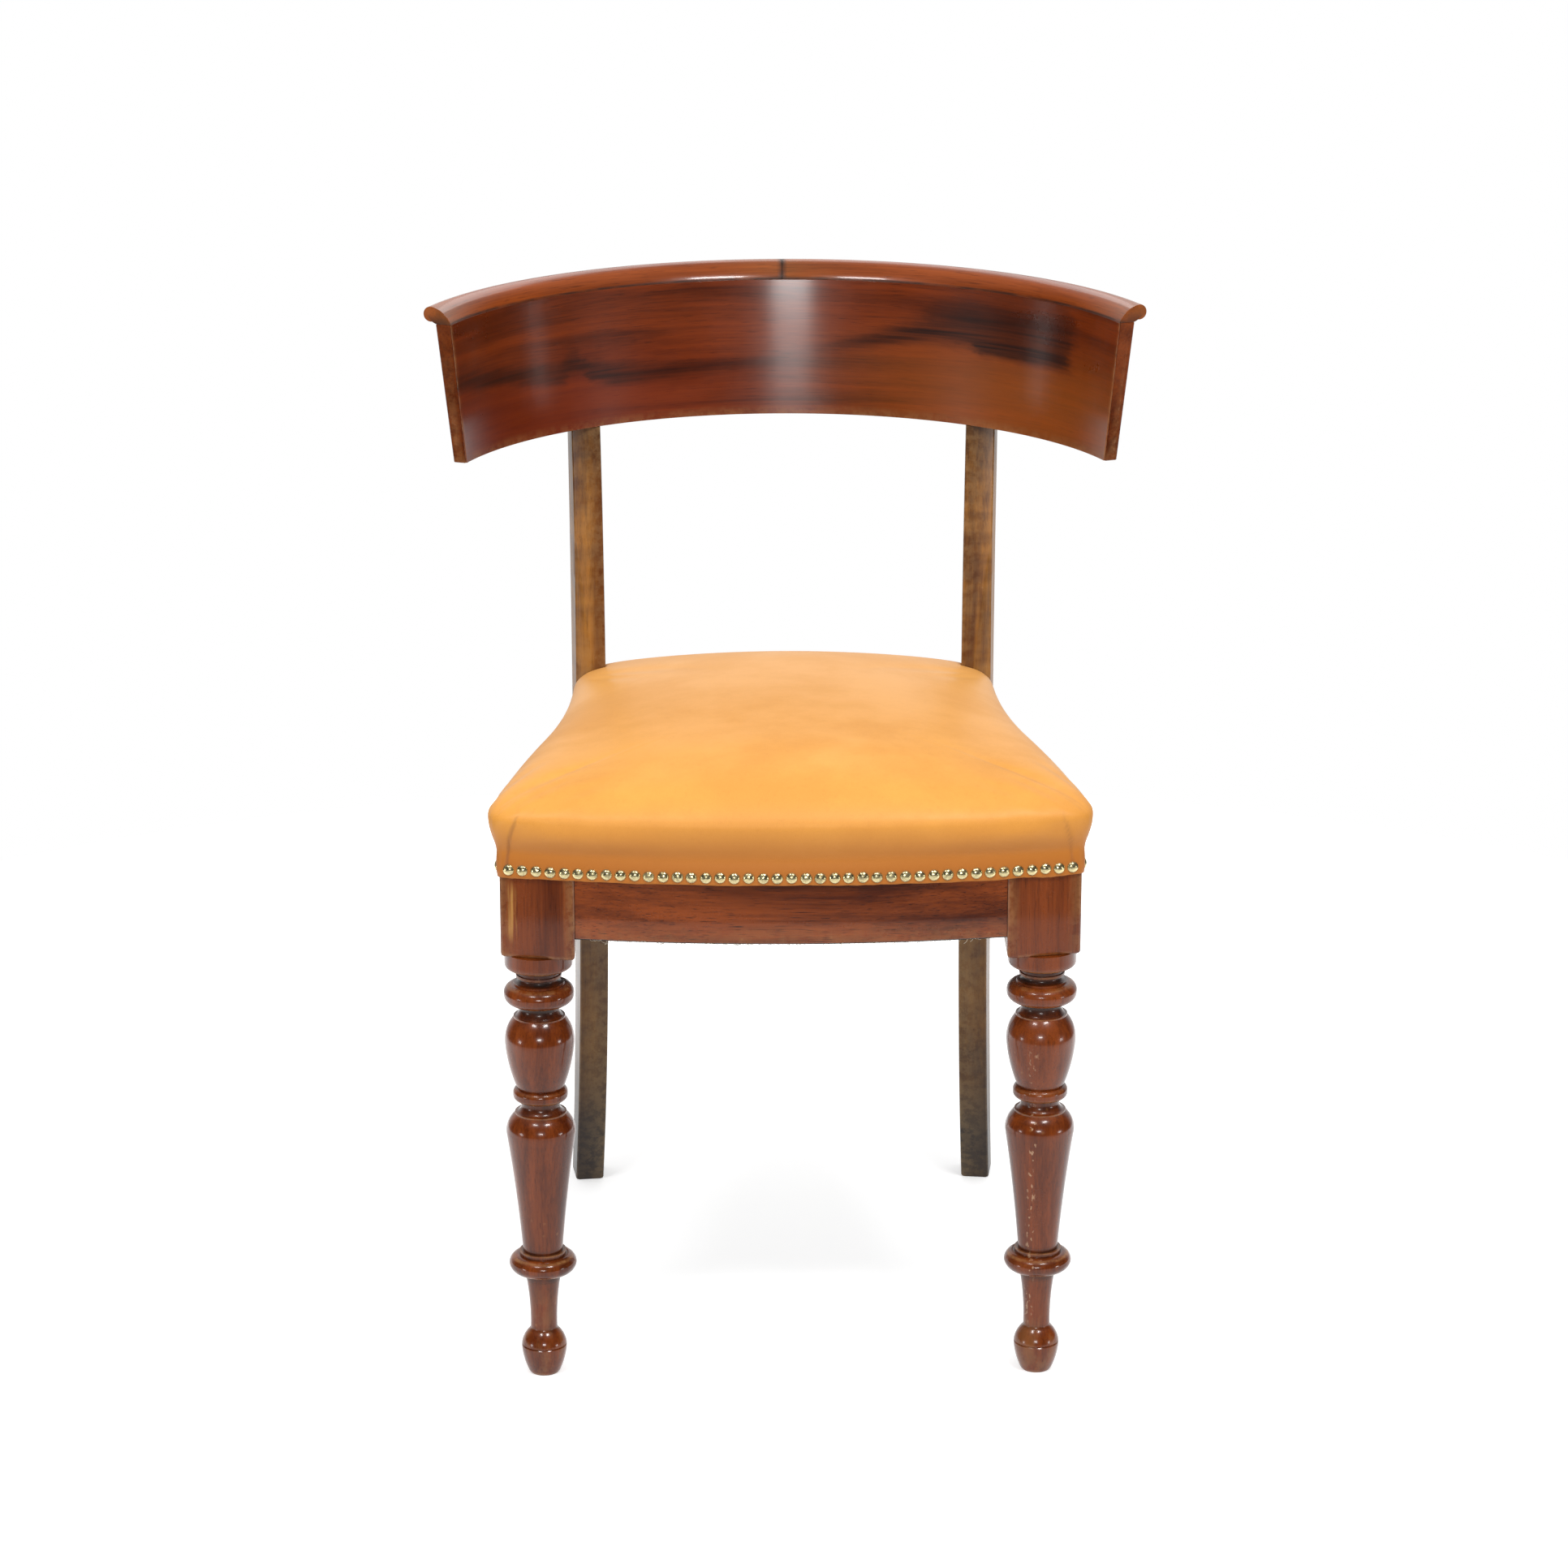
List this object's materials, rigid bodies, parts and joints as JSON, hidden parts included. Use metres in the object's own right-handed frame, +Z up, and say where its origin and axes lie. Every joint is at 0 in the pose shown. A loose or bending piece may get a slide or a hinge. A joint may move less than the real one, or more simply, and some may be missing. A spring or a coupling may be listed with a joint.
{
  "type": "side chair",
  "caption": "Klismos side chair with a curved crest rail rolled at the top, sabre rear legs, turned front legs and an over-stuffed nailed leather seat.",
  "frame": {"origin": "on the floor under the middle of the chair's bounding box", "axes": "+Z up, +Y towards the back of the chair, +X towards the picture's right"},
  "size_m": [0.5618, 0.4916, 0.7875],
  "materials": {
    "mahogany": "french polished, worn at the edges",
    "stained_birch": "stained and polished",
    "pine": "sawn",
    "leather": "smooth aniline, soft sheen",
    "brass": "antiqued",
    "steel": "plain",
    "blued_steel": "blued",
    "jute": "herringbone weave",
    "hessian": "open plain weave",
    "stuffing": "wadding",
    "bottom_cloth": "plain weave"
  },
  "bodies": {
    "root": {"bottom_cloth": "bottom_cloth", "bottom_cloth_tacks": "blued_steel", "corner_block_front_left": "pine", "corner_block_front_right": "pine", "corner_block_rear_left": "pine", "corner_block_rear_right": "pine", "corner_block_screws": "steel", "crest_board": "mahogany", "crest_face_veneer": "mahogany", "crest_roll_left": "mahogany", "crest_roll_right": "mahogany", "crest_screw_plugs": "stained_birch", "crest_screws": "steel", "front_leg_left": "mahogany", "front_leg_right": "mahogany", "front_seat_rail": "mahogany", "hessian_platform": "hessian", "leather_cover": "leather", "rear_post_left": "stained_birch", "rear_post_right": "stained_birch", "rear_seat_rail": "stained_birch", "seat_nails_front": "brass", "seat_nails_left": "brass", "seat_nails_rear": "brass", "seat_nails_right": "brass", "seat_stuffing": "stuffing", "side_seat_rail_left": "stained_birch", "side_seat_rail_right": "stained_birch", "webbing_crosswise": "jute", "webbing_lengthwise": "jute", "webbing_tacks": "blued_steel"}
  },
  "joints": []
}
